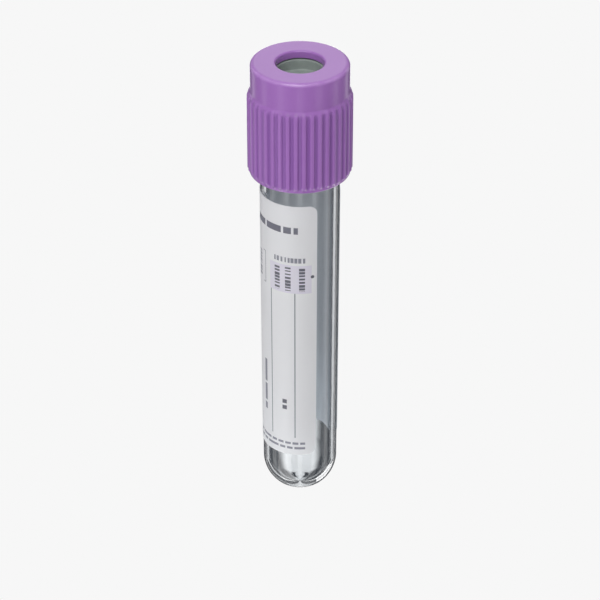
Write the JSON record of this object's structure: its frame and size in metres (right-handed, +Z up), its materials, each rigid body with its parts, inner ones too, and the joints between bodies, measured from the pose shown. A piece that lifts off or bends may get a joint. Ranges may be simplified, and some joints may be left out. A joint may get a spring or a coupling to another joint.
{
  "type": "blood collection tube",
  "caption": "Clear round-bottomed blood collection tube with a wrap-round label and a grey rubber stopper in a ribbed lavender cap shell that pulls off along its axis.",
  "frame": {"origin": "at the middle of the cap's flat top, on the surface that the upturned tube stands on", "axes": "+Z up, along the tube's axis from the cap to the round bottom; -Y is the front, and the label's clear window starts 25 degrees from it towards -X"},
  "size_m": [0.0168, 0.0168, 0.081],
  "materials": {
    "clear_plastic": "clear moulded plastic, glossy",
    "label_paper": "white coated paper, satin, with pale grey and lavender print",
    "stopper_rubber": "matt grey-green moulded rubber",
    "cap_plastic": "lavender moulded plastic, satin"
  },
  "bodies": {
    "closure": {"cap_shell": "cap_plastic", "stopper": "stopper_rubber"},
    "tube": {"tube": "clear_plastic", "label": "label_paper"}
  },
  "joints": [
    {"name": "closure_pull", "type": "slide", "parent": "closure", "child": "tube", "axis": [0, 0, 1], "range_m": [0, 0.018]}
  ]
}
